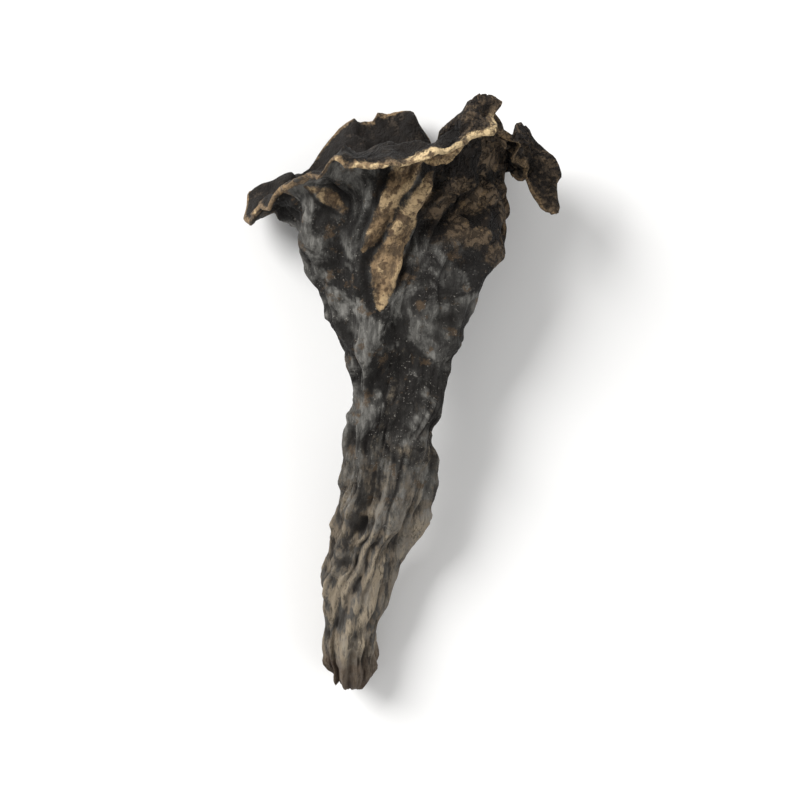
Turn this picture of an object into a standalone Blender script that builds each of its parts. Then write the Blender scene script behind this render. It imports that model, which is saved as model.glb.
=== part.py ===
"""A dried black trumpet mushroom, lying on its side.

It grew as one piece and is one solid: a hollow funnel whose wall narrows into a collapsed, furrowed stem
and ends in a rolled, waved and split lip. Metres, +Z up. +Y runs from the stem's foot to the mouth, and the
origin is under the middle of the mushroom, on the surface that it rests on.

The wall is a sheet of rows and columns. A column is a meridian: a line along the wall from the foot to the
lip's edge. It is walked in small steps whose slope away from the axis follows a rule. That gives a plain
funnel. The furrows and waves are heights over the plain funnel, along its normals, and so are the two faces
of the wall. The whole is then squashed, bent, crumpled and laid down by maps that move space smoothly.
"""

import math

import bpy
import numpy as np
from mathutils import Vector, noise

MM = 0.001

# The meridian, from the foot up
STEM_LENGTH = 20 * MM
THROAT_LENGTH = 13 * MM
FUNNEL_LENGTH = 13 * MM
LIP_LENGTH = 5.8 * MM
FOOT_RADIUS = 1.3 * MM
FOOT_SLOPE = 52.0
FOOT_LENGTH = 3 * MM
STEM_SLOPE = 1.5
THROAT_SLOPE = 6.0
FUNNEL_SLOPE = 16.0

# How sharply the lip curls towards its edge, and how unevenly in degrees and in length
CURL_POWER = 1.3
TURN_SCATTER = 30.0
LENGTH_SCATTER = 0.8 * MM

# The lip's lobes: the middle and half width of each in degrees round the mouth (0 is +X, 90 is up),
# how much longer than the rest the wall is there, and how far its edge turns away from the axis
LIP_LOBES = (
    (-2, 30, 4.5 * MM, 235),
    (44, 20, 2.0 * MM, 120),
    (84, 24, 0.5 * MM, 150),
    (128, 24, -2.5 * MM, 125),
    (174, 24, -1.5 * MM, 150),
    (218, 24, 2.5 * MM, 80),
    (262, 22, 2.0 * MM, 25),
    (308, 24, 3.5 * MM, 85),
)

# Splits that run down from the edge: middle in degrees, half width in degrees, depth
LIP_SPLITS = ((28, 11, 2.8 * MM), (152, 10, 3.0 * MM), (284, 10, 3.4 * MM))
SPLIT_POWER = 1.3

# Pleats along the wall: cells round the ring and per drift length, seed, rounding, level, share of the radius
PLEATS = ((5, 0.6, 11, 0.010, 0.40, 0.62), (13, 1.1, 12, 0.015, 0.35, 0.36))
DRIFT_LENGTH = 26 * MM
DRIFT_TURN = 40.0
PUCKER_SHARE = 0.12
SHALLOW_RADIUS = 5.5 * MM
DEEPEST_SHARE = 0.55

# Furrows along the wall: angle at the foot and at the lip, half width in degrees, share of the radius
FURROWS = (
    (165, 104, 15, 0.42),
    (118, 38, 13, 0.40),
    (250, 205, 20, 0.34),
    (-20, -40, 17, 0.30),
)
FURROW_END = 50 * MM
FURROW_FADE = 0.75

# The lip's waves, higher on its long lobe, and that lobe's tight folds, about this angle
WAVE = 1.0 * MM
LOBE_WAVE = 0.9 * MM
RUFFLE_ANGLE = 4.0
RUFFLE = 0.9 * MM

# The section's squash: its direction in degrees at the foot and at the lip, and its amount
SQUASH_FOOT, SQUASH_LIP = 30.0, 88.0
SQUASH_WIDE, SQUASH_TALL = 1.10, 0.74

# How far the axis bends sideways and upward, as sines along this length, in radians
BEND_SIDE = 3.2 * MM
BEND_UP = 2.0 * MM
BEND_LENGTH = 50 * MM
SIDE_TURNS, SIDE_START, SIDE_LEAN = 3.6, -0.9, 1.5 * MM
UP_TURNS, UP_START = 3.1, 0.2

# Crumpling: how far it moves a point, the size of its folds and a seed, and how much of it the foot keeps
CRUMPLES = ((1.8 * MM, 15 * MM, 5.0), (0.9 * MM, 6.5 * MM, 9.0))
FOOT_CRUMPLE = 0.45

# The wall: its thickness, the share of it from the foot that is solid, and how much steep folds thicken it
WALL = 0.95 * MM
EDGE_WALL = 0.70 * MM
CAVITY_START = 0.44
MOST_THICKER = 1.3

# The mesh: columns crowd towards the right by this many degrees, and rows towards the lip
COLUMNS = 84
COLUMN_FOCUS = 20.0
OUTER_ROWS = 42
ROW_FOCUS = 0.09
WALK_STEPS = 400

# How the dried mushroom lies: its tips in degrees, and how deep and how steeply its lowest places are pressed
AXIS_RISE = 8.9
ROLL = -7.4
PRESS = 0.7 * MM
PRESS_SPREAD = 1.2


def ramp(x, low, high):
    """0 below low, 1 above high, and smooth between."""
    t = np.clip((x - low) / (high - low), 0.0, 1.0)
    return t * t * (3 - 2 * t)


def ring_hump(angle, middle, half_width):
    """A hump round the ring, in degrees, that joins itself after a full turn."""
    away = np.radians(angle - middle)
    spread = math.radians(half_width)
    return np.exp((np.cos(away) - 1) / spread**2)


def ring_noise(angle, along, cells, seed):
    """Smooth noise from about -1 to 1 with so many cells round the ring, drifting with along."""
    circle = cells / (2 * math.pi)
    turn = np.radians(angle)
    x, y = circle * np.cos(turn) + 13.7 * seed, circle * np.sin(turn) - 7.1 * seed
    flat = [noise.noise(Vector(p)) for p in zip(x.flat, y.flat, np.broadcast_to(along, x.shape).flat)]
    return 1.7 * np.array(flat).reshape(x.shape)


def space_noise(points, size, seed):
    """Three smooth noises from about -1 to 1 at each point, with cells of the given size."""
    scaled = points.reshape(-1, 3) / size
    shifts = (np.array([seed, 2 * seed, -seed]) + offset for offset in (0.0, 31.7, 67.3))
    flat = [[noise.noise(Vector(p)) for p in scaled + shift] for shift in shifts]
    return 1.5 * np.array(flat).T.reshape(points.shape)


def walk_meridians(angle):
    """Radius, height, slope in radians and distance from the foot, in small steps up each column."""
    weights = np.array([ring_hump(angle, m, w) for m, w, _, _ in LIP_LOBES])
    total = weights.sum(axis=0)
    extra = sum(w * lobe[2] for w, lobe in zip(weights, LIP_LOBES)) / total
    turn = sum(w * lobe[3] for w, lobe in zip(weights, LIP_LOBES)) / total
    turn = turn + TURN_SCATTER * ring_noise(angle, 0.0, 11, 3)
    extra = extra + LENGTH_SCATTER * ring_noise(angle, 0.0, 15, 5)
    funnel_start = STEM_LENGTH + THROAT_LENGTH
    lip_start = funnel_start + FUNNEL_LENGTH
    length = lip_start + LIP_LENGTH + extra
    for middle, half_width, depth in LIP_SPLITS:
        away = (angle - middle + 180) % 360 - 180
        length = length - depth * np.clip(1 - np.abs(away) / half_width, 0, 1) ** SPLIT_POWER
    distance = np.linspace(0, 1, WALK_STEPS)[:, None] * length
    slope = STEM_SLOPE + (FOOT_SLOPE - STEM_SLOPE) * (1 - ramp(distance, 0, FOOT_LENGTH))
    slope = slope + (THROAT_SLOPE - STEM_SLOPE) * ramp(distance, 0.5 * STEM_LENGTH, funnel_start)
    slope = slope + (FUNNEL_SLOPE - THROAT_SLOPE) * ramp(distance, funnel_start - 5 * MM, lip_start)
    curl = np.clip((distance - lip_start) / (LIP_LENGTH + extra), 0, 1)
    slope = np.radians(slope + (turn - FUNNEL_SLOPE) * curl**CURL_POWER)
    step = np.diff(distance, axis=0)
    middle = (slope[1:] + slope[:-1]) / 2
    start = np.zeros(len(angle))
    radius = FOOT_RADIUS + np.vstack([start, np.cumsum(step * np.sin(middle), axis=0)])
    height = np.vstack([start, np.cumsum(step * np.cos(middle), axis=0)])
    return radius, height, slope, distance


def relief(angle, distance, radius):
    """How far the dried wall stands out from the plain funnel: furrows, pleats and the lip's waves."""
    along = distance / DRIFT_LENGTH
    drift = angle + DRIFT_TURN * along + 9 * ring_noise(angle, 1.5 * along, 4, 31)
    share = PUCKER_SHARE * ring_noise(angle, 4.5 * along, 3, 41)
    for cells, rate, seed, rounding, level, depth in PLEATS:
        pleat = np.sqrt(ring_noise(drift, rate * along, cells, seed) ** 2 + rounding)
        share = share + depth * (pleat - level)
    up = np.clip(distance / FURROW_END, 0, 1)
    fade = 1 - FURROW_FADE * ramp(distance, FURROW_END - 8 * MM, FURROW_END)
    for at_foot, at_lip, half_width, depth in FURROWS:
        share = share - fade * depth * ring_hump(angle, at_foot + (at_lip - at_foot) * up, half_width)
    full = SHALLOW_RADIUS * (1 - np.exp(-radius / SHALLOW_RADIUS))
    wave = WAVE + LOBE_WAVE * ring_hump(angle, RUFFLE_ANGLE, 36)
    wave = wave * ramp(distance, 41 * MM, 52 * MM) * ring_noise(angle, distance / (25 * MM), 17, 21)
    ruffle = RUFFLE * ring_hump(angle, RUFFLE_ANGLE, 30) * ramp(distance, 36 * MM, 46 * MM)
    ruffle = ruffle * ring_noise(angle + 60 * along, distance / (7 * MM), 26, 22)
    return full * np.maximum(share, -DEEPEST_SHARE) + wave + ruffle


def squash(points):
    """Presses the section flat across a direction that turns from the foot to the mouth."""
    turn = SQUASH_FOOT + (SQUASH_LIP - SQUASH_FOOT) * ramp(points[..., 1], 0, 40 * MM)
    cos, sin = np.cos(np.radians(turn)), np.sin(np.radians(turn))
    short = points[..., 0] * cos + points[..., 2] * sin
    long = -points[..., 0] * sin + points[..., 2] * cos
    short, long = short * SQUASH_TALL, long * SQUASH_WIDE
    return np.stack([short * cos - long * sin, points[..., 1], short * sin + long * cos], axis=-1)


def bend(points):
    """Lays the straight axis along a curved one."""
    y = points[..., 1] / BEND_LENGTH
    side = BEND_SIDE * np.sin(SIDE_TURNS * y + SIDE_START) - SIDE_LEAN * y
    up = BEND_UP * np.sin(UP_TURNS * y + UP_START)
    side_slope = (BEND_SIDE * SIDE_TURNS * np.cos(SIDE_TURNS * y + SIDE_START) - SIDE_LEAN) / BEND_LENGTH
    up_slope = BEND_UP * UP_TURNS * np.cos(UP_TURNS * y + UP_START) / BEND_LENGTH
    tangent = np.stack([side_slope, np.ones_like(side), up_slope], axis=-1)
    tangent /= np.linalg.norm(tangent, axis=-1, keepdims=True)
    right = np.array([1.0, 0, 0]) - tangent * tangent[..., :1]
    right /= np.linalg.norm(right, axis=-1, keepdims=True)
    top = np.cross(right, tangent)
    middle = np.stack([side, points[..., 1], up], axis=-1)
    return middle + points[..., :1] * right + points[..., 2:] * top


def crumple(points):
    """Pushes the points about by smooth noises in space."""
    strength = (FOOT_CRUMPLE + (1 - FOOT_CRUMPLE) * ramp(points[..., 1], 0, 30 * MM))[..., None]
    moved = points
    for amount, size, seed in CRUMPLES:
        moved = moved + amount * strength * space_noise(points, size, seed)
    return moved


def lay_down(points):
    """Tips the mouth up and rolls the mushroom about its length."""
    rise, roll = math.radians(AXIS_RISE), math.radians(ROLL)
    x, y, z = points[..., 0], points[..., 1], points[..., 2]
    x, z = x * math.cos(roll) + z * math.sin(roll), z * math.cos(roll) - x * math.sin(roll)
    y, z = y * math.cos(rise) - z * math.sin(rise), z * math.cos(rise) + y * math.sin(rise)
    return np.stack([x, y, z], axis=-1)


def settle(sheets):
    """Centres the mushroom and presses its lowest places flat on the surface, with the wall over them."""
    every = np.concatenate([sheet.reshape(-1, 3) for sheet in sheets])
    low, high = every.min(axis=0), every.max(axis=0)
    middle = (low + high) / 2
    shift = np.array([middle[0], middle[1], low[2] + PRESS])
    every, sheets = every - shift, [sheet - shift for sheet in sheets]
    sunk = every[every[:, 2] < 0]
    for sheet in sheets:
        lift = np.zeros(sheet.shape[:-1])
        for x, y, z in sunk:
            away = np.hypot(sheet[..., 0] - x, sheet[..., 1] - y)
            lift = np.maximum(lift, -z - PRESS_SPREAD * away)
        sheet[..., 2] += lift
    return sheets


def skins(columns, rows):
    """The outer and inner face of the wall as sheets of points, and the rim between them."""
    angle = np.arange(columns) * 360.0 / columns
    angle = angle - COLUMN_FOCUS * np.sin(np.radians(angle))
    tables = walk_meridians(angle)
    share = np.linspace(0, 1, rows)
    share = share + ROW_FOCUS * np.sin(math.pi * share)
    at = share * (WALK_STEPS - 1)
    low = np.minimum(at.astype(int), WALK_STEPS - 2)
    part = (at - low)[:, None]
    radius, height, slope, distance = (t[low] * (1 - part) + t[low + 1] * part for t in tables)
    angle = np.broadcast_to(angle, radius.shape)
    cos, sin = np.cos(np.radians(angle)), np.sin(np.radians(angle))
    plain = np.stack([radius * cos, height, radius * sin], axis=-1)
    normal = np.stack([cos * np.cos(slope), -np.sin(slope), sin * np.cos(slope)], axis=-1)
    ahead = np.stack([cos * np.sin(slope), np.cos(slope), sin * np.sin(slope)], axis=-1)
    height_over = relief(angle, distance, radius)
    around = np.linalg.norm(np.roll(plain, -1, axis=1) - np.roll(plain, 1, axis=1), axis=2)
    steep = (np.roll(height_over, -1, axis=1) - np.roll(height_over, 1, axis=1)) / around
    half = (WALL + (EDGE_WALL - WALL) * ramp(distance / distance[-1], 0.8, 1.0)) / 2
    half = half * np.minimum(np.sqrt(1 + steep**2), MOST_THICKER)
    outer = plain + normal * (height_over + half)[..., None]
    inner = (plain + normal * (height_over - half)[..., None])[int(CAVITY_START * rows):]
    rim = (plain + normal * height_over[..., None] + ahead * 0.4 * EDGE_WALL)[-1]
    return settle([lay_down(crumple(bend(squash(sheet)))) for sheet in (outer, inner, rim)])


def closed_mesh(name, outer, inner, rim):
    """One closed mesh: foot, outer face, rim, inner face and the cavity's tip."""
    rows = [*outer, rim, *inner[::-1]]
    columns = len(rim)
    points = [p for row in rows for p in row]
    foot, tip = len(points), len(points) + 1
    ahead = outer[1].mean(axis=0) - outer[0].mean(axis=0)
    points.append(outer[0].mean(axis=0) - 0.5 * ahead)
    behind = inner[1].mean(axis=0) - inner[0].mean(axis=0)
    points.append(inner[0].mean(axis=0) - 0.5 * behind)
    faces = []
    for row in range(len(rows) - 1):
        for column in range(columns):
            after = (column + 1) % columns
            a, b = row * columns + column, row * columns + after
            c, d = a + columns, b + columns
            if row < len(outer):
                faces += [(a, d, b), (a, c, d)]
            else:
                faces += [(a, c, b), (b, c, d)]
    last = (len(rows) - 1) * columns
    for column in range(columns):
        after = (column + 1) % columns
        faces.append((column, after, foot))
        faces.append((last + after, last + column, tip))
    mesh = bpy.data.meshes.new(name)
    mesh.from_pydata([tuple(p) for p in points], [], faces)
    mesh.validate()
    return mesh


def dried_flesh():
    """The plain look of the dried flesh: dark brown, dull."""
    material = bpy.data.materials.new("dried_flesh")
    material.use_nodes = True
    shader = material.node_tree.nodes["Principled BSDF"]
    shader.inputs["Base Color"].default_value = (0.055, 0.043, 0.033, 1)
    shader.inputs["Roughness"].default_value = 0.75
    shader.inputs["Metallic"].default_value = 0.0
    return material


def main():
    for old in list(bpy.data.objects):
        bpy.data.objects.remove(old)
    mesh = closed_mesh("trumpet", *skins(COLUMNS, OUTER_ROWS))
    mesh.materials.append(dried_flesh())
    mesh.shade_smooth()
    trumpet = bpy.data.objects.new("trumpet", mesh)
    bpy.context.scene.collection.objects.link(trumpet)


main()
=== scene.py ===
"""The look of a dried black trumpet mushroom that lies on its side.

One finely folded mesh stands for the plain solid. It follows the same rules as the solid, with many more rows
and columns, and adds what drying leaves on the flesh: fibres and shrivelled wrinkles along the outside, scurf
on the inside, a frayed edge and a torn foot. Its material reads masks that are worked out from those rules.

A column of the mesh is a meridian: a line along the wall from the foot to the lip's edge. Angles are degrees
round the mushroom's axis, with 0 at +X and 90 up. Metres, +Z up.
"""

import math
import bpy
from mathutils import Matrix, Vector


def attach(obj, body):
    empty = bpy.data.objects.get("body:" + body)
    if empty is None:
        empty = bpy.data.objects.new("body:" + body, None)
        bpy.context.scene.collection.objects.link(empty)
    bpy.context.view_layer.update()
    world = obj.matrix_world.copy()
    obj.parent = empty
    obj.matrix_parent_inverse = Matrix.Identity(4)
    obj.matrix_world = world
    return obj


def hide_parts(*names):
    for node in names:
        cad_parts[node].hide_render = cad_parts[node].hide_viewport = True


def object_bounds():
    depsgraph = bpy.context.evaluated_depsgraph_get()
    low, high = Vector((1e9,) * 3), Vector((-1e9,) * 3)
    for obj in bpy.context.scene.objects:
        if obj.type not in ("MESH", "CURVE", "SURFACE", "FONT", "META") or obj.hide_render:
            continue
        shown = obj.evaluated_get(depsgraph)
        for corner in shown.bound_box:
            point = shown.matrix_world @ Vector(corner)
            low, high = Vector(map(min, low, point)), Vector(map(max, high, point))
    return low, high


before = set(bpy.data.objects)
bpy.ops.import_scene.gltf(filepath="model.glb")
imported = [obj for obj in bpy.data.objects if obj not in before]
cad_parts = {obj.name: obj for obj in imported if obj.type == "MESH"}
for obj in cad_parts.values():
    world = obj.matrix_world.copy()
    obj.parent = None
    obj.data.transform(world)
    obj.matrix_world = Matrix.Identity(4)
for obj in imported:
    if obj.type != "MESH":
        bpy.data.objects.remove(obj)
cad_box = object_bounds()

from types import SimpleNamespace

import bpy
import numpy as np
from mathutils import Vector, noise

MM = 0.001

# The meridian, from the foot up, as in the solid
STEM_LENGTH = 20 * MM
THROAT_LENGTH = 13 * MM
FUNNEL_LENGTH = 13 * MM
LIP_LENGTH = 5.8 * MM
FOOT_RADIUS = 1.3 * MM
FOOT_LENGTH = 3 * MM
FOOT_SLOPE = 52.0
STEM_SLOPE = 1.5
THROAT_SLOPE = 6.0
FUNNEL_SLOPE = 16.0
FUNNEL_BLEND = 5 * MM
CURL_POWER = 1.3

# Scatter of the lip's turn and of its length: amount, cells round the ring, seed
TURN_SCATTER = (30.0, 11, 3)
LENGTH_SCATTER = (0.8 * MM, 15, 5)

# The frayed edge, in rounded tips and finer: amount in millimetres, cells round the ring, seed
FRAY_TIPS = (0.34, 34, 51)
FRAY_FINE = (0.22, 80, 52)

# The lip's lobes: middle, half width, extra length, and how far the edge turns away from the axis
LIP_LOBES = (
    (-2, 30, 4.5 * MM, 235),
    (44, 20, 2.0 * MM, 120),
    (84, 24, 0.5 * MM, 150),
    (128, 24, -2.5 * MM, 125),
    (174, 24, -1.5 * MM, 150),
    (218, 24, 2.5 * MM, 80),
    (262, 22, 2.0 * MM, 25),
    (308, 24, 3.5 * MM, 85),
)

# The lip's splits: middle, half width, depth
LIP_SPLITS = ((28, 11, 2.8 * MM), (152, 10, 3.0 * MM), (284, 10, 3.4 * MM))
SPLIT_POWER = 1.3

# Pleats: cells round the ring and per drift length, seed, rounding, level, share of the radius
PLEATS = ((5, 0.6, 11, 0.010, 0.40, 0.62), (13, 1.1, 12, 0.015, 0.35, 0.36))
DRIFT_LENGTH = 26 * MM
DRIFT_TURN = 40.0
DRIFT_WANDER = 9
PUCKER_SHARE = 0.12
SHALLOW_RADIUS = 5.5 * MM
DEEPEST_SHARE = 0.55

# Furrows: angle at the foot and at the lip, half width, share of the radius
FURROWS = (
    (165, 104, 15, 0.42),
    (118, 38, 13, 0.40),
    (250, 205, 20, 0.34),
    (-20, -40, 17, 0.30),
)
FURROW_END = 50 * MM
FURROW_FADE = 0.75
FURROW_FADE_LENGTH = 8 * MM

# The lip's waves, and the tight folds of its long lobe at the right
WAVE = 1.0 * MM
WAVE_START, WAVE_FULL, WAVE_LENGTH = 41 * MM, 52 * MM, 25 * MM
LOBE_WAVE, LOBE_WAVE_WIDTH = 0.9 * MM, 36
RUFFLE = 0.9 * MM
RUFFLE_ANGLE, RUFFLE_WIDTH, RUFFLE_TURN = 4.0, 30, 60
RUFFLE_START, RUFFLE_FULL, RUFFLE_LENGTH = 36 * MM, 46 * MM, 7 * MM
EDGE_RUFFLE, LOBE_EDGE_RUFFLE = 0.46 * MM, 1.3
EDGE_RUFFLE_WIDTH, EDGE_RUFFLE_LENGTH = 5 * MM, 9 * MM

# Raised folds: distance from the foot and angle at the lower end and at the upper end, half width, height,
# and how tan it is. Two tan ones run from the rim down to the left, with a brown one beside them, and a small
# patch lies at the left.
TAN_FOLDS = (
    (40.5 * MM, 95, 57.0 * MM, 35, 1.32 * MM, 0.42 * MM, 1.0),
    (35.5 * MM, 89, 46.5 * MM, 54, 1.25 * MM, 0.46 * MM, 1.0),
    (37.0 * MM, 58, 49.5 * MM, 28, 1.00 * MM, 0.50 * MM, 0.0),
    (44.3 * MM, 120, 48.2 * MM, 134, 0.60 * MM, 0.15 * MM, 0.66),
)
FOLD_FALL, FOLD_COLOUR_FALL = 0.7, 0.9
FOLD_FAINT, FOLD_FAINT_END = 0.5, 0.3
GROOVE_PLACE, GROOVE_SHARPNESS, GROOVE_DEPTH = 1.4, 6, 0.8
PALE_RIM_ANGLE, PALE_RIM_WIDTH = 57, 17

# Shrivelling: height, size round the wall, size along it, seed
SHRIVELS = (
    (0.40 * MM, 2.5 * MM, 5.0 * MM, 7.3),
    (0.26 * MM, 1.3 * MM, 2.2 * MM, 3.1),
    (0.13 * MM, 0.7 * MM, 1.0 * MM, 5.9),
)
SHRIVEL_ROUNDING, SHRIVEL_LEVEL = 0.006, 0.35

# The right lobe, which shrivels more, and whose wrinkles stay low where it curls: the two ramps give the
# distances from the edge between which that sets in, and the least curl keeps the limit finite elsewhere
LOBE_ANGLE, LOBE_WIDTH = 2.0, 42
LOBE_START, LOBE_FULL = 34 * MM, 46 * MM
LOBE_SHRIVEL = 1.5
CURLED_WRINKLE = 0.6 * MM
CURL_FAR, CURL_NEAR = (15 * MM, 8 * MM), (2.5 * MM, 6 * MM)
LEAST_CURL = 0.05

# Where the outside of that lobe curls too tightly for its wrinkles, they are evened out
EVEN_ANGLE, EVEN_WIDTH = -9, 12
EVEN_FAR, EVEN_NEAR = (13 * MM, 10.5 * MM), (4.5 * MM, 7 * MM)
EVEN_STEPS = 16

# The grain of the outside and of the inside, with heights in millimetres
GRAIN_LENGTH = 10 * MM
GRAIN_TURN, GRAIN_WANDER = 14, 10
GRAIN_LEVEL = 0.4
FIBRES, THREADS, PUCKERS = 0.34, 0.14, 0.10
LIP_FIBRES_LOST, LIP_FIBRES_START, LIP_FIBRES_END = 0.16, 38 * MM, 48 * MM
EDGE_GRAIN_LOST, EDGE_GRAIN_START = 0.7, 0.96
INNER_FOLDS, INNER_SCALES = 0.10, 0.12

# The rounding of the finer creases, and that of the threads and scales
ROUNDED, MORE_ROUNDED = 0.01, 0.02

# The torn foot
FOOT_PIT = 0.9 * MM
FOOT_TEAR, FOOT_TEAR_END, FOOT_TEAR_LENGTH = 0.55 * MM, 4.5 * MM, 3 * MM

# The squash, across a direction that turns from the foot to the lip, and the bend of the axis
SQUASH_FOOT, SQUASH_LIP, SQUASH_END = 30.0, 88.0, 40 * MM
SQUASH_WIDE, SQUASH_TALL = 1.10, 0.74
BEND_SIDE = 3.2 * MM
BEND_UP = 2.0 * MM
BEND_LENGTH = 50 * MM
SIDE_TURNS, SIDE_START, SIDE_LEAN = 3.6, -0.9, 1.5 * MM
UP_TURNS, UP_START = 3.1, 0.2

# Crumpling: how far it moves a point, the size of its folds and a seed. The last two are finer than the
# solid's, and the right lobe has two more.
CRUMPLES = (
    (1.8 * MM, 15 * MM, 5.0),
    (0.9 * MM, 6.5 * MM, 9.0),
    (0.30 * MM, 2.7 * MM, 13.0),
    (0.10 * MM, 1.1 * MM, 17.0),
)
LOBE_CRUMPLES = ((0.85 * MM, 2.9 * MM, 23.0), (0.32 * MM, 1.35 * MM, 29.0))
FOOT_CRUMPLE, CRUMPLE_FULL = 0.45, 30 * MM

# The wall's thickness, its rounded rim, and how the mushroom lies
WALL = 0.95 * MM
EDGE_WALL, THINNING_START = 0.52 * MM, 0.8
RIM_REACH = 0.95
AXIS_RISE = 8.9
ROLL = -7.4

# Pressing on the surface: how deep, how steeply it fades, and which of the pressed points count
PRESS = 0.7 * MM
PRESS_SPREAD = 1.2
PRESS_EVERY = 3

# The mesh: columns crowd towards the right, and rows towards the lip
COLUMNS = 256
COLUMN_FOCUS = 20.0
OUTER_ROWS = 212
ROW_FOCUS = 0.09
CAVITY_ROW = int(0.44 * OUTER_ROWS)
CAP_SHARES = (0.15, 0.35, 0.6, 0.82)
RIM_TURNS = (60, 30, 0, -30, -60)
WALK_STEPS = 600

# What brings the noises to about -1 to 1, and how far apart seeds and axes read them
RING_GAIN, SPACE_GAIN = 1.7, 1.5
SEED_SHIFTS = (13.7, -7.1)
AXIS_SHIFTS = (0.0, 31.7, 67.3)

# The masks, and the material's noises: how far drawn out along Y, scale, detail, roughness, distortion
MASKS = ("along", "from_edge", "inside", "ridge", "lobe", "tan", "beside", "pale")
NOISES = {
    "patches": (1, 0.17, 9, 0.62, 0.5),
    "spread": (1, 0.42, 8, 0.66, 0.0),
    "mottle": (1, 0.95, 8, 0.68, 0.0),
    "wrinkles": (1, 1.1, 3, 0.5, 0.25),
    "spots": (1, 1.7, 3, 0.5, 0.3),
    "grit": (1, 2.3, 5, 0.62, 0.0),
    "specks": (1, 5.0, 3, 0.6, 0.0),
    "pores": (1, 6.5, 3, 0.6, 0.0),
    "fibres": (3, 2.4, 5, 0.62, 0.0),
    "streaks": (4, 1.2, 8, 0.68, 0.3),
    "threads": (6, 2.6, 7, 0.70, 0.2),
}

# Bumps: height and strength
CRINKLE_BUMP = (0.55 * MM, 0.9)
FIBRE_BUMP = (0.30 * MM, 0.75)
PORE_BUMP = (0.12 * MM, 0.6)

ROUGHNESS = (0.58, 0.88)
SPECULAR = 0.16
SHEEN, SHEEN_ROUGHNESS = 0.04, 0.5

FLOOR_SIZE = 4
FLOOR_COLOUR = (0.86, 0.855, 0.845, 1)
FLOOR_ROUGHNESS = 0.9

# Area lights: name, place, size, power
LIGHTS = (("key", (-0.28, 0.20, 0.30), 0.24, 2.5), ("fill", (0.34, -0.10, 0.26), 0.35, 0.6))
LIGHT_TARGET = (0, 0, 0.008)
WORLD_STRENGTH = 0.50
CAMERA_PLACE = (0, 0, 0.18)
CAMERA_LENS, CAMERA_CLIP = 85, 0.01


def ramp(x, low, high):
    """0 below low, 1 above high, and smooth between."""
    t = np.clip((x - low) / (high - low), 0.0, 1.0)
    return t * t * (3 - 2 * t)


def ring_hump(angle, middle, half_width):
    """A hump round the ring that joins itself after a full turn."""
    away = np.radians(angle - middle)
    spread = math.radians(half_width)
    return np.exp((np.cos(away) - 1) / spread**2)


def noise_at(x, y, z):
    """Smooth noise from about -1 to 1 at each place."""
    places = zip(np.ravel(x), np.ravel(y), np.ravel(z))
    return RING_GAIN * np.array([noise.noise(Vector(p)) for p in places]).reshape(np.shape(x))


def ring_noise(angle, along, cells, seed):
    """Noise with so many cells round the ring, drifting with along."""
    circle = cells / (2 * math.pi)
    turn = np.radians(angle)
    along = np.broadcast_to(along, angle.shape)
    shift_x, shift_y = SEED_SHIFTS
    return noise_at(circle * np.cos(turn) + shift_x * seed, circle * np.sin(turn) + shift_y * seed, along)


def ring_scatter(angle, amount, cells, seed):
    """Noise round the ring that stays the same along the wall."""
    return amount * ring_noise(angle, 0.0, cells, seed)


def space_noise(points, size, seed):
    """Three smooth noises from about -1 to 1 at each point, with cells of the given size."""
    scaled = points.reshape(-1, 3) / size
    shifts = (np.array([seed, 2 * seed, -seed]) + offset for offset in AXIS_SHIFTS)
    flat = [[noise.noise(Vector(p)) for p in scaled + shift] for shift in shifts]
    return SPACE_GAIN * np.array(flat).T.reshape(points.shape)


def creases(value, rounding):
    """Near 0 where a noise crosses zero and near 1 away from there: rounded ridges and narrow valleys."""
    return np.sqrt(value**2 + rounding)


def walk_meridians(angle):
    """Radius, height, slope in radians and distance from the foot, in small steps up each column."""
    weights = np.array([ring_hump(angle, m, w) for m, w, _, _ in LIP_LOBES])
    total = weights.sum(axis=0)
    extra = sum(w * lobe[2] for w, lobe in zip(weights, LIP_LOBES)) / total
    turn = sum(w * lobe[3] for w, lobe in zip(weights, LIP_LOBES)) / total
    turn = turn + ring_scatter(angle, *TURN_SCATTER)
    extra = extra + ring_scatter(angle, *LENGTH_SCATTER)
    funnel_start = STEM_LENGTH + THROAT_LENGTH
    lip_start = funnel_start + FUNNEL_LENGTH
    length = lip_start + LIP_LENGTH + extra
    for middle, half_width, depth in LIP_SPLITS:
        away = (angle - middle + 180) % 360 - 180
        length = length - depth * np.clip(1 - np.abs(away) / half_width, 0, 1) ** SPLIT_POWER
    depth, cells, seed = FRAY_TIPS
    fray = depth * creases(ring_noise(angle, 0.0, cells, seed), ROUNDED) + ring_scatter(angle, *FRAY_FINE)
    length = length - MM * fray
    distance = np.linspace(0, 1, WALK_STEPS)[:, None] * length
    slope = STEM_SLOPE + (FOOT_SLOPE - STEM_SLOPE) * (1 - ramp(distance, 0, FOOT_LENGTH))
    slope = slope + (THROAT_SLOPE - STEM_SLOPE) * ramp(distance, 0.5 * STEM_LENGTH, funnel_start)
    slope = slope + (FUNNEL_SLOPE - THROAT_SLOPE) * ramp(distance, funnel_start - FUNNEL_BLEND, lip_start)
    curl = np.clip((distance - lip_start) / (LIP_LENGTH + extra), 0, 1)
    slope = np.radians(slope + (turn - FUNNEL_SLOPE) * curl**CURL_POWER)
    step = np.diff(distance, axis=0)
    middle = (slope[1:] + slope[:-1]) / 2
    start = np.zeros(len(angle))
    radius = FOOT_RADIUS + np.vstack([start, np.cumsum(step * np.sin(middle), axis=0)])
    height = np.vstack([start, np.cumsum(step * np.cos(middle), axis=0)])
    return radius, height, slope, distance


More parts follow.
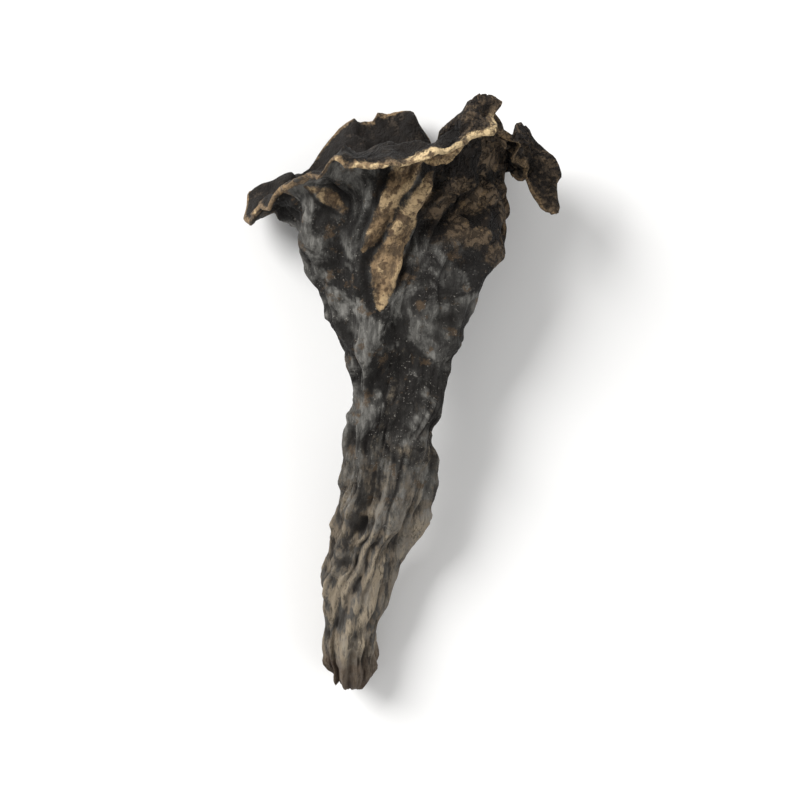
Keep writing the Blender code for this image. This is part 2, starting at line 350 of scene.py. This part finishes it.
def plain_rows():
    """The plain funnel by rows and columns: angle, radius and distance from the foot, then each point's
    place, its outward direction and its direction towards the edge."""
    angle = np.arange(COLUMNS) * 360.0 / COLUMNS
    angle = angle - COLUMN_FOCUS * np.sin(np.radians(angle))
    tables = walk_meridians(angle)
    share = np.linspace(0, 1, OUTER_ROWS)
    at = (share + ROW_FOCUS * np.sin(math.pi * share)) * (WALK_STEPS - 1)
    before = np.minimum(at.astype(int), WALK_STEPS - 2)
    part = (at - before)[:, None]
    radius, height, slope, distance = (t[before] * (1 - part) + t[before + 1] * part for t in tables)
    angle = np.broadcast_to(angle, radius.shape)
    cos, sin = np.cos(np.radians(angle)), np.sin(np.radians(angle))
    place = np.stack([radius * cos, height, radius * sin], axis=-1)
    normal = np.stack([cos * np.cos(slope), -np.sin(slope), sin * np.cos(slope)], axis=-1)
    ahead = np.stack([cos * np.sin(slope), np.cos(slope), sin * np.sin(slope)], axis=-1)
    return angle, radius, distance, place, normal, ahead


def relief(angle, distance, radius):
    """How far the dried wall stands out from the plain funnel: furrows, pleats and the lip's waves."""
    along = distance / DRIFT_LENGTH
    drift = angle + DRIFT_TURN * along + DRIFT_WANDER * ring_noise(angle, 1.5 * along, cells=4, seed=31)
    share = PUCKER_SHARE * ring_noise(angle, 4.5 * along, cells=3, seed=41)
    for cells, rate, seed, rounding, level, depth in PLEATS:
        share = share + depth * (creases(ring_noise(drift, rate * along, cells, seed), rounding) - level)
    up = np.clip(distance / FURROW_END, 0, 1)
    fade = 1 - FURROW_FADE * ramp(distance, FURROW_END - FURROW_FADE_LENGTH, FURROW_END)
    for at_foot, at_lip, half_width, depth in FURROWS:
        share = share - fade * depth * ring_hump(angle, at_foot + (at_lip - at_foot) * up, half_width)
    full = SHALLOW_RADIUS * (1 - np.exp(-radius / SHALLOW_RADIUS))
    wave = WAVE + LOBE_WAVE * ring_hump(angle, RUFFLE_ANGLE, LOBE_WAVE_WIDTH)
    wave = wave * ramp(distance, WAVE_START, WAVE_FULL)
    wave = wave * ring_noise(angle, distance / WAVE_LENGTH, cells=17, seed=21)
    ruffle = RUFFLE * ring_hump(angle, RUFFLE_ANGLE, RUFFLE_WIDTH)
    ruffle = ruffle * ramp(distance, RUFFLE_START, RUFFLE_FULL)
    ruffle = ruffle * ring_noise(angle + RUFFLE_TURN * along, distance / RUFFLE_LENGTH, cells=26, seed=22)
    return full * np.maximum(share, -DEEPEST_SHARE) + wave + ruffle


def edge_ruffle(angle, distance, to_edge, lobe):
    """The tightest ruffles, at the edge alone and higher on the right lobe."""
    height = EDGE_RUFFLE * (1 + LOBE_EDGE_RUFFLE * lobe) * ramp(to_edge, EDGE_RUFFLE_WIDTH, 0)
    return height * ring_noise(angle, distance / EDGE_RUFFLE_LENGTH, cells=44, seed=81)


def shrivel(plain, lobe, to_edge):
    """Wrinkles of the whole wall, with rounded ridges and narrow valleys, and low where the lobe curls."""
    height = 0.0
    for amount, around, along, seed in SHRIVELS:
        x, y, z = plain[..., 0] / around + seed, plain[..., 1] / along, plain[..., 2] / around - seed
        height = height + amount * (creases(noise_at(x, y, z), SHRIVEL_ROUNDING) - SHRIVEL_LEVEL)
    height = height * (1 + LOBE_SHRIVEL * lobe)
    curled = lobe * ramp(to_edge, *CURL_FAR) * ramp(to_edge, *CURL_NEAR)
    most = CURLED_WRINKLE / np.maximum(curled, LEAST_CURL)
    return most * np.tanh(height / most)


def tan_folds(angle, distance, radius):
    """The raised folds' height, a mask of the tan ones, and a mask of the groove round each."""
    height, on, beside = 0.0, 0.0, 0.0
    for low, low_angle, high, high_angle, half_width, raised, tan in TAN_FOLDS:
        share = (distance - low) / (high - low)
        middle = low_angle + (high_angle - low_angle) * share
        lens = np.sqrt(np.clip(4 * share * (1 - share), 1e-4, 1))
        away = (angle - middle + 180) % 360 - 180
        across = np.radians(np.abs(away)) * radius / (half_width * lens)
        within = (share > 0) & (share < 1)
        groove = within * lens * np.exp(-GROOVE_SHARPNESS * (across - GROOVE_PLACE) ** 2)
        ridge = lens * within * np.exp(-FOLD_FALL * across**2)
        height = height + raised * (ridge - GROOVE_DEPTH * groove)
        whole = FOLD_FAINT + (1 - FOLD_FAINT) * ramp(share, 0.0, FOLD_FAINT_END)
        on = np.maximum(on, tan * whole * within * np.exp(-FOLD_COLOUR_FALL * across**4))
        beside = np.maximum(beside, groove)
    return height, on, beside * (1 - on)


def outer_grain(angle, distance, end):
    """The outside's fine relief: fibres that run and fork along it, puckers across them, and a torn foot."""
    along = distance / GRAIN_LENGTH
    drift = angle + GRAIN_TURN * along + GRAIN_WANDER * ring_noise(angle, 0.8 * along, cells=6, seed=61)
    fibres = creases(ring_noise(drift, 0.55 * along, cells=30, seed=62), ROUNDED) - GRAIN_LEVEL
    threads = creases(ring_noise(drift, 0.9 * along, cells=58, seed=63), MORE_ROUNDED) - GRAIN_LEVEL
    puckers = ring_noise(angle, 5.5 * along, cells=9, seed=64)
    lip = ramp(distance, LIP_FIBRES_START, LIP_FIBRES_END)
    height = MM * ((FIBRES - LIP_FIBRES_LOST * lip) * fibres + THREADS * threads + PUCKERS * puckers)
    torn = creases(ring_noise(angle, distance / FOOT_TEAR_LENGTH, cells=15, seed=91), ROUNDED)
    torn = ramp(distance, FOOT_TEAR_END, 0) * torn
    return height * (1 - EDGE_GRAIN_LOST * ramp(distance / end, EDGE_GRAIN_START, 1.0)) + FOOT_TEAR * torn


def inner_grain(angle, distance):
    """The inside's fine relief: low folds and small scales."""
    along = distance / GRAIN_LENGTH
    folds = ring_noise(angle, 0.7 * along, cells=22, seed=71)
    scales = creases(ring_noise(angle, 9 * along, cells=60, seed=72), MORE_ROUNDED)
    return MM * (INNER_FOLDS * folds + INNER_SCALES * (scales - GRAIN_LEVEL))


def squash(points):
    """Presses the section flat across a direction that turns from the foot to the mouth."""
    turn = SQUASH_FOOT + (SQUASH_LIP - SQUASH_FOOT) * ramp(points[..., 1], 0, SQUASH_END)
    cos, sin = np.cos(np.radians(turn)), np.sin(np.radians(turn))
    short = points[..., 0] * cos + points[..., 2] * sin
    long = -points[..., 0] * sin + points[..., 2] * cos
    short, long = short * SQUASH_TALL, long * SQUASH_WIDE
    return np.stack([short * cos - long * sin, points[..., 1], short * sin + long * cos], axis=-1)


def bend(points):
    """Lays the straight axis along a curved one."""
    y = points[..., 1] / BEND_LENGTH
    side = BEND_SIDE * np.sin(SIDE_TURNS * y + SIDE_START) - SIDE_LEAN * y
    up = BEND_UP * np.sin(UP_TURNS * y + UP_START)
    side_slope = (BEND_SIDE * SIDE_TURNS * np.cos(SIDE_TURNS * y + SIDE_START) - SIDE_LEAN) / BEND_LENGTH
    up_slope = BEND_UP * UP_TURNS * np.cos(UP_TURNS * y + UP_START) / BEND_LENGTH
    tangent = np.stack([side_slope, np.ones_like(side), up_slope], axis=-1)
    tangent /= np.linalg.norm(tangent, axis=-1, keepdims=True)
    right = np.array([1.0, 0, 0]) - tangent * tangent[..., :1]
    right /= np.linalg.norm(right, axis=-1, keepdims=True)
    top = np.cross(right, tangent)
    middle = np.stack([side, points[..., 1], up], axis=-1)
    return middle + points[..., :1] * right + points[..., 2:] * top


def crumple(points, lobe):
    """Pushes the points about by smooth noises in space, with more of them on the right lobe."""
    strength = FOOT_CRUMPLE + (1 - FOOT_CRUMPLE) * ramp(points[..., 1], 0, CRUMPLE_FULL)
    moved = points
    for amount, size, seed in CRUMPLES:
        moved = moved + amount * strength[..., None] * space_noise(points, size, seed)
    for amount, size, seed in LOBE_CRUMPLES:
        moved = moved + amount * lobe[..., None] * space_noise(points, size, seed)
    return moved


def even_out(points, weight):
    """Moves each point towards the middle of its four neighbours, as far as its weight says."""
    for _ in range(EVEN_STEPS):
        middle = points.copy()
        sides = np.roll(points, 1, axis=1) + np.roll(points, -1, axis=1)
        middle[1:-1] = (points[:-2] + points[2:] + sides[1:-1]) / 4
        points = points + weight[..., None] * (middle - points)
    return points


def lay_down(points):
    """Tips the mouth up and rolls the mushroom about its length."""
    rise, roll = math.radians(AXIS_RISE), math.radians(ROLL)
    x, y, z = points[..., 0], points[..., 1], points[..., 2]
    x, z = x * math.cos(roll) + z * math.sin(roll), z * math.cos(roll) - x * math.sin(roll)
    y, z = y * math.cos(rise) - z * math.sin(rise), z * math.cos(rise) + y * math.sin(rise)
    return np.stack([x, y, z], axis=-1)


def settle(points):
    """Presses the lowest places flat on the surface, with the wall over them, and fits the solid's box."""
    low, high = points.min(axis=(0, 1)), points.max(axis=(0, 1))
    points = points - [(low[0] + high[0]) / 2, (low[1] + high[1]) / 2, low[2] + PRESS]
    lift = np.maximum(-points[..., 2], 0)
    for x, y, z in points[points[..., 2] < 0][::PRESS_EVERY]:
        away = np.hypot(points[..., 0] - x, points[..., 1] - y)
        lift = np.maximum(lift, -z - PRESS_SPREAD * away)
    points[..., 2] += lift
    low, high = points.min(axis=(0, 1)), points.max(axis=(0, 1))
    cad_low, cad_high = np.array(cad_box[0]), np.array(cad_box[1])
    return cad_low + (points - low) * (cad_high - cad_low) / (high - low)


def every_row(outside, inside, cap=0.0):
    """One mask over the cap, the outside, the rim and the inside, from its values on the last three."""
    caps = np.full((len(CAP_SHARES), COLUMNS), cap)
    rims = np.broadcast_to(outside[-1], (len(RIM_TURNS), COLUMNS))
    return np.concatenate([caps, outside, rims, inside[CAVITY_ROW:][::-1]])


def wall_rows(place, normal, ahead, outward, inward, folds, half):
    """The points by rows: the cap at the foot, the outside, the rim, and the inside back to its tip."""
    outer = place + normal * outward[..., None]
    inner = (place + normal * inward[..., None])[CAVITY_ROW:]
    reach = half[-1] * RIM_REACH
    rim = [
        place[-1]
        + normal[-1] * (folds[-1] + reach * math.sin(math.radians(turn)))[:, None]
        + ahead[-1] * (reach * math.cos(math.radians(turn)))[:, None]
        for turn in RIM_TURNS
    ]
    centre = outer[0].mean(axis=0)
    pit = np.array([0, FOOT_PIT, 0])
    cap = [centre + (outer[0] - centre) * s + pit * (1 - s * s) for s in CAP_SHARES]
    return np.concatenate([cap, outer, rim, inner[::-1]])


def mushroom_rows():
    """Every row of points from the foot to the cavity's tip, and the masks that the material reads."""
    angle, radius, distance, place, normal, ahead = plain_rows()
    end = distance[-1]
    to_edge = end - distance
    lobe = ring_hump(angle, LOBE_ANGLE, LOBE_WIDTH) * ramp(distance, LOBE_START, LOBE_FULL)
    wrinkles = shrivel(place, lobe, to_edge)
    raised, tan, beside = tan_folds(angle, distance, radius)
    folds = relief(angle, distance, radius) + wrinkles + raised
    folds = folds + edge_ruffle(angle, distance, to_edge, lobe)
    grain = outer_grain(angle, distance, end)
    half = (WALL + (EDGE_WALL - WALL) * ramp(distance / end, THINNING_START, 1.0)) / 2
    outward, inward = folds + half + grain, folds - half + inner_grain(angle, distance)
    points = wall_rows(place, normal, ahead, outward, inward, folds, half)

    nothing = np.zeros_like(distance)
    pale = ring_hump(angle, PALE_RIM_ANGLE, PALE_RIM_WIDTH)
    wrinkles = wrinkles / (1 + LOBE_SHRIVEL * lobe)
    masks = {
        "along": every_row(distance / FURROW_END, distance / FURROW_END),
        "from_edge": every_row(to_edge / MM, to_edge / MM, cap=50.0),
        "inside": every_row(nothing, nothing + 1),
        "ridge": every_row(0.5 + (wrinkles + grain) / MM, 0.5 - wrinkles / MM, cap=0.5),
        "lobe": every_row(lobe, lobe),
        "tan": every_row(tan, nothing),
        "beside": every_row(beside, nothing),
        "pale": every_row(pale, pale),
    }
    tight = ring_hump(angle, EVEN_ANGLE, EVEN_WIDTH) * ramp(to_edge, *EVEN_FAR)
    tight = every_row(tight * ramp(to_edge, *EVEN_NEAR), nothing)
    points = even_out(crumple(bend(squash(points)), masks["lobe"]), tight)
    return settle(lay_down(points)), masks


def closed_mesh(name, points, masks):
    """One closed mesh of quads, with a fan at the foot and one at the cavity's tip."""
    rows, columns = points.shape[:2]
    index = np.arange(rows * columns).reshape(rows, columns)
    after = np.roll(index, -1, axis=1)
    quads = np.stack([index[:-1], index[1:], after[1:], after[:-1]], axis=-1).reshape(-1, 4)
    foot, tip = rows * columns, rows * columns + 1
    ends = np.stack([points[0].mean(axis=0), points[-1].mean(axis=0)])
    fans = [(a, b, foot) for a, b in zip(index[0], after[0])]
    fans += [(b, a, tip) for a, b in zip(index[-1], after[-1])]
    mesh = bpy.data.meshes.new(name)
    mesh.from_pydata(np.concatenate([points.reshape(-1, 3), ends]).tolist(), [], quads.tolist() + fans)
    mesh.shade_smooth()
    for mask, values in masks.items():
        layer = mesh.attributes.new(mask, "FLOAT", "POINT")
        layer.data.foreach_set("value", np.append(values.ravel(), [values[0].mean(), values[-1].mean()]))
    return mesh


class Nodes:
    """Makes and links shader nodes with short calls."""

    def __init__(self, material):
        material.use_nodes = True
        self.tree = material.node_tree
        self.shader = self.tree.nodes["Principled BSDF"]
        self.places = {}

    def link(self, value, socket):
        """Links a node's output, or sets a plain value."""
        if hasattr(value, "is_output"):
            self.tree.links.new(value, socket)
        else:
            socket.default_value = value

    def mask(self, name):
        node = self.tree.nodes.new("ShaderNodeAttribute")
        node.attribute_name = name
        return node.outputs["Fac"]

    def place(self, drawn):
        """The object's own coordinates in millimetres, drawn out so many times along Y."""
        if drawn not in self.places:
            coords = self.tree.nodes.new("ShaderNodeTexCoord")
            mapping = self.tree.nodes.new("ShaderNodeMapping")
            mapping.inputs["Scale"].default_value = [1 / (MM * s) for s in (1, drawn, 1)]
            self.tree.links.new(coords.outputs["Object"], mapping.inputs["Vector"])
            self.places[drawn] = mapping.outputs["Vector"]
        return self.places[drawn]

    def noise(self, drawn, scale, detail, roughness, distortion):
        node = self.tree.nodes.new("ShaderNodeTexNoise")
        node.inputs["Scale"].default_value = scale
        node.inputs["Detail"].default_value = detail
        node.inputs["Roughness"].default_value = roughness
        node.inputs["Distortion"].default_value = distortion
        self.tree.links.new(self.place(drawn), node.inputs["Vector"])
        return node.outputs["Fac"]

    def math(self, operation, first, second=0.0):
        node = self.tree.nodes.new("ShaderNodeMath")
        node.operation = operation
        self.link(first, node.inputs[0])
        self.link(second, node.inputs[1])
        return node.outputs[0]

    def times(self, *values):
        product = values[0]
        for value in values[1:]:
            product = self.math("MULTIPLY", product, value)
        return product

    def stirred(self, value, *stirs):
        """value moved up and down by noises, each with an amount, which makes its borders ragged."""
        for by, amount in stirs:
            value = self.math("ADD", value, self.times(self.math("SUBTRACT", by, 0.5), amount))
        return value

    def steps(self, value, low, high, start=0.0, end=1.0):
        """value from low..high to start..end, smoothly and held at both ends."""
        node = self.tree.nodes.new("ShaderNodeMapRange")
        node.interpolation_type = "SMOOTHSTEP"
        for socket, number in zip(("From Min", "From Max", "To Min", "To Max"), (low, high, start, end)):
            node.inputs[socket].default_value = number
        self.link(value, node.inputs["Value"])
        return node.outputs["Result"]

    def mix(self, share, first, second):
        """first where share is 0 and second where it is 1, both colours."""
        node = self.tree.nodes.new("ShaderNodeMix")
        node.data_type = "RGBA"
        self.link(share, node.inputs["Factor"])
        self.link(first, node.inputs["A"])
        self.link(second, node.inputs["B"])
        return node.outputs["Result"]

    def bump(self, height, distance, strength, normal=None):
        node = self.tree.nodes.new("ShaderNodeBump")
        node.inputs["Distance"].default_value = distance
        node.inputs["Strength"].default_value = strength
        self.link(height, node.inputs["Height"])
        if normal:
            self.link(normal, node.inputs["Normal"])
        return node.outputs["Normal"]


def srgb(*screen):
    """A colour given in 0 to 255 as it shows on a screen, by the standard curve."""
    parts = [c / 255 for c in screen]
    return (*(p / 12.92 if p <= 0.04045 else ((p + 0.055) / 1.055) ** 2.4 for p in parts), 1.0)


CHARCOAL = srgb(29, 27, 25)
# Grey bloom, with a painted sheen where it is made stronger on the ridges
BLOOM_AND_SHEEN = srgb(122, 120, 115)
SPECK = srgb(146, 142, 134)
BROWN = srgb(82, 67, 51)
# Painted shade: near-black laid into the creases, the grooves beside the folds and the valleys of the
# wrinkles
CREASE_SHADE = srgb(16, 13, 11)
TAN_SHADE = srgb(94, 78, 60)
TAN = srgb(138, 115, 86)
# Painted highlight on the crests of the tan folds
TAN_HIGHLIGHT = srgb(182, 157, 120)
RIM_TAN = srgb(122, 103, 80)
RIM_PALE = srgb(218, 192, 148)
SPOT = srgb(66, 51, 39)
# Painted highlight on the stem's raised ridges
STEM_HIGHLIGHT = srgb(138, 126, 108)
STEM_TAN = srgb(108, 97, 83)
STEM_GREY = srgb(76, 73, 69)
# Dark hairlines along the stem, and painted shade in its hollows
STEM_DARK_LINE_AND_SHADE = srgb(42, 38, 34)
INSIDE = srgb(27, 23, 20)
SCURF = srgb(68, 60, 52)
# The lobe's own dark and brown, placed by height: dark between the crests as painted shade, brown on them as
# a painted highlight
LOBE_SHADED_DARK = srgb(36, 30, 25)
LOBE_LIT_BROWN = srgb(99, 84, 67)
GOLDEN = srgb(124, 103, 76)


def funnel_colour(n, t):
    """Charcoal with a grey bloom, stronger on the ridges as a painted sheen, brown spots and pale specks."""
    colour = n.mix(t.bloom, CHARCOAL, BLOOM_AND_SHEEN)
    brown = n.steps(n.stirred(t.spread, (t.mottle, 0.4)), 0.57, 0.66)
    colour = n.mix(n.times(brown, 0.8), colour, BROWN)
    specks = n.times(n.steps(t.specks, 0.61, 0.68), n.steps(t.mottle, 0.42, 0.60), 0.75)
    return n.mix(specks, colour, SPECK)


def stem_colour(n, t):
    """Grey and tan along the fibres, dark hairlines between them, a painted highlight on the raised ridges
    and painted shade in the hollows, with a brown foot.
    """
    colour = n.mix(n.steps(n.stirred(t.patches, (t.streaks, 1.2)), 0.42, 0.58), STEM_GREY, STEM_TAN)
    # Painted highlight on the raised ridges
    colour = n.mix(n.steps(n.stirred(t.ridge, (t.threads, 1.6)), 0.56, 0.82), colour, STEM_HIGHLIGHT)
    colour = n.mix(n.times(n.steps(t.threads, 0.53, 0.60), 0.75), colour, STEM_DARK_LINE_AND_SHADE)
    # Painted shade in the hollows
    colour = n.mix(n.steps(n.stirred(t.ridge, (t.streaks, 1.0)), 0.32, 0.52, 0.75, 0.0), colour, STEM_DARK_LINE_AND_SHADE)
    # Grey bloom, partly painted sheen on the ridges
    colour = n.mix(n.times(t.bloom, 0.5), colour, BLOOM_AND_SHEEN)
    return n.mix(n.steps(n.stirred(t.along, (t.mottle, 0.10)), 0.02, 0.09, 0.8, 0.0), colour, SPOT)


def lobe_colour(n, t):
    """The outside of the right lobe: brown on its ridges as a painted highlight, dark between them as painted
    shade, near-black painted shade in the creases, with a few golden spots.
    """
    lit_crests = n.stirred(t.raised, (t.mottle, 1.4), (t.grit, 2.4))
    colour = n.mix(n.steps(lit_crests, 0.26, 0.84), LOBE_SHADED_DARK, LOBE_LIT_BROWN)
    golden = n.steps(n.stirred(t.spread, (t.specks, 0.4)), 0.57, 0.66)
    colour = n.mix(n.times(golden, n.steps(t.raised, 0.3, 0.9)), colour, GOLDEN)
    return n.mix(n.steps(t.crinkles, 0.0, 0.7, 0.65, 0.0), colour, CREASE_SHADE)


def fold_colour(n, t):
    """The tan folds, with a painted highlight on their ridges, and spotted with brown."""
    colour = n.mix(n.steps(n.stirred(t.streaks, (t.mottle, 1.0)), 0.40, 0.58), TAN_SHADE, TAN)
    # Painted highlight on the folds' raised crests, broken up by specks
    colour = n.mix(n.times(n.steps(n.stirred(t.raised, (t.specks, 1.0)), 0.6, 1.0), 0.8), colour, TAN_HIGHLIGHT)
    return n.mix(n.times(n.steps(n.stirred(t.spots, (t.mottle, 0.8)), 0.52, 0.68), 0.8), colour, SPOT)


def outside_colour(n, t):
    """The funnel, with the stem below it, the lobe at the right and the tan folds in their creases, which get
    painted shade.
    """
    up = n.stirred(t.along, (t.patches, 0.8), (t.mottle, 0.5))
    colour = n.mix(n.steps(up, 0.28, 0.50, 1.0, 0.0), funnel_colour(n, t), stem_colour(n, t))
    colour = n.mix(n.steps(n.stirred(t.lobe, (t.spread, 0.5)), 0.30, 0.48), colour, lobe_colour(n, t))
    # Painted shade: near-black in the groove beside each fold
    colour = n.mix(n.steps(t.beside, 0.1, 0.9, 0.0, 0.85), colour, CREASE_SHADE)
    return n.mix(n.steps(n.stirred(t.tan, (t.mottle, 1.5)), 0.25, 0.72), colour, fold_colour(n, t))


def inside_colour(n, t):
    """Black-brown with faint scurf, and crinkled brown on the right lobe: brown on the crests as a painted
    highlight, with painted shade between them and in the creases.
    """
    scurf = n.steps(n.stirred(t.mottle, (t.specks, 0.6), (t.spots, 0.5)), 0.53, 0.70)
    colour = n.mix(n.times(scurf, n.steps(t.spread, 0.44, 0.60, 0.25, 1.0)), INSIDE, SCURF)
    lit_crests = n.stirred(t.ridge, (t.mottle, 1.4), (t.grit, 2.0))
    crinkled = n.mix(n.steps(lit_crests, 0.35, 0.90), LOBE_SHADED_DARK, LOBE_LIT_BROWN)
    crinkled = n.mix(n.steps(t.crinkles, 0.0, 0.6, 0.5, 0.0), crinkled, CREASE_SHADE)
    return n.mix(n.steps(n.stirred(t.lobe, (t.spread, 1.0)), 0.3, 0.7), colour, crinkled)


def rim_colour(n, t):
    """The edge's tan, with pale blocks where the rim shows palest."""
    colour = n.mix(n.steps(n.stirred(t.specks, (t.mottle, 1.4)), 0.40, 0.60), TAN_SHADE, RIM_TAN)
    colour = n.mix(n.steps(n.stirred(t.spread, (t.specks, 0.6)), 0.50, 0.60), colour, TAN)
    gleam = n.stirred(t.pale, (t.spots, 2.6), (t.spread, 2.4))
    return n.mix(n.steps(gleam, 0.45, 0.95, 0.0, 0.95), colour, RIM_PALE)


def dried_flesh():
    """Charcoal flesh with a grey bloom that is partly painted sheen, tan folds and rim, a tan-grey stem and a
    black-brown inside, with painted highlights on ridges and painted shade in the creases.
    """
    material = bpy.data.materials.new("dried_flesh_look")
    n = Nodes(material)
    t = SimpleNamespace(**{name: n.mask(name) for name in MASKS})
    for name, numbers in NOISES.items():
        setattr(t, name, n.noise(*numbers))
    t.crinkles = n.steps(n.math("ABSOLUTE", n.math("SUBTRACT", t.wrinkles, 0.5)), 0.0, 0.12)
    t.raised = n.steps(n.stirred(t.ridge, (t.mottle, 0.5)), 0.34, 0.66)
    # The bloom is stronger on raised places: partly real bloom, partly painted sheen on the ridges
    bloom = n.times(n.steps(t.patches, 0.46, 0.56), n.steps(t.raised, 0.0, 1.0, 0.25, 1.0))
    bloom = n.times(bloom, n.steps(t.streaks, 0.38, 0.60, 0.35, 1.0))
    t.bloom = n.times(bloom, n.steps(t.threads, 0.40, 0.58, 1.0, 0.55))

    colour = n.mix(t.inside, outside_colour(n, t), inside_colour(n, t))
    # Painted shade: near-black in the valleys of the wrinkles
    colour = n.mix(n.steps(t.ridge, 0.16, 0.42, 0.9, 0.0), colour, CREASE_SHADE)
    ragged = n.stirred(t.from_edge, (t.mottle, 1.5), (t.spots, 0.9))
    ragged = n.math("ADD", ragged, n.times(t.inside, 0.35))
    ragged = n.math("SUBTRACT", ragged, n.times(t.pale, 0.38))
    broken = n.steps(n.stirred(t.spread, (t.mottle, 0.5)), 0.38, 0.50, 0.15, 1.0)
    colour = n.mix(n.times(n.steps(ragged, 0.30, 0.62, 1.0, 0.0), broken), colour, rim_colour(n, t))

    shader = n.shader
    n.link(colour, shader.inputs["Base Color"])
    n.link(n.steps(t.mottle, 0.35, 0.65, *ROUGHNESS), shader.inputs["Roughness"])
    shader.inputs["Specular IOR Level"].default_value = SPECULAR
    shader.inputs["Sheen Weight"].default_value = SHEEN
    shader.inputs["Sheen Roughness"].default_value = SHEEN_ROUGHNESS
    normal = n.bump(n.times(t.crinkles, t.lobe), *CRINKLE_BUMP)
    normal = n.bump(t.fibres, *FIBRE_BUMP, normal)
    normal = n.bump(t.pores, *PORE_BUMP, normal)
    n.link(normal, shader.inputs["Normal"])
    return material


def floor():
    """A plain pale floor."""
    bpy.ops.mesh.primitive_plane_add(size=FLOOR_SIZE)
    plane = bpy.context.object
    plane.name = "floor"
    material = bpy.data.materials.new("pale_floor")
    n = Nodes(material)
    n.shader.inputs["Base Color"].default_value = FLOOR_COLOUR
    n.shader.inputs["Roughness"].default_value = FLOOR_ROUGHNESS
    plane.data.materials.append(material)


def area_light(name, place, size, power):
    """A soft light that faces the mushroom."""
    light = bpy.data.lights.new(name, "AREA")
    light.size, light.energy = size, power
    lamp = bpy.data.objects.new(name, light)
    lamp.location = place
    lamp.rotation_euler = (Vector(LIGHT_TARGET) - Vector(place)).to_track_quat("-Z", "Y").to_euler()
    bpy.context.scene.collection.objects.link(lamp)


def studio():
    """Soft light, a pale world, and the camera that looks down on the mushroom, mouth at the top."""
    for name, place, size, power in LIGHTS:
        area_light(name, place, size, power)
    scene = bpy.context.scene
    scene.world = bpy.data.worlds.new("studio")
    scene.world.use_nodes = True
    background = scene.world.node_tree.nodes["Background"]
    background.inputs["Color"].default_value = (1, 1, 1, 1)
    background.inputs["Strength"].default_value = WORLD_STRENGTH
    scene.view_settings.view_transform = "Standard"
    camera = bpy.data.cameras.new("camera")
    camera.lens = CAMERA_LENS
    camera.clip_start = CAMERA_CLIP
    scene.camera = bpy.data.objects.new("camera", camera)
    scene.camera.location = CAMERA_PLACE
    scene.collection.objects.link(scene.camera)


def main():
    points, masks = mushroom_rows()
    trumpet = bpy.data.objects.new("trumpet_skin", closed_mesh("trumpet_skin", points, masks))
    trumpet.data.materials.append(dried_flesh())
    bpy.context.scene.collection.objects.link(trumpet)
    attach(trumpet, "root")
    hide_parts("trumpet")
    floor()
    studio()


main()
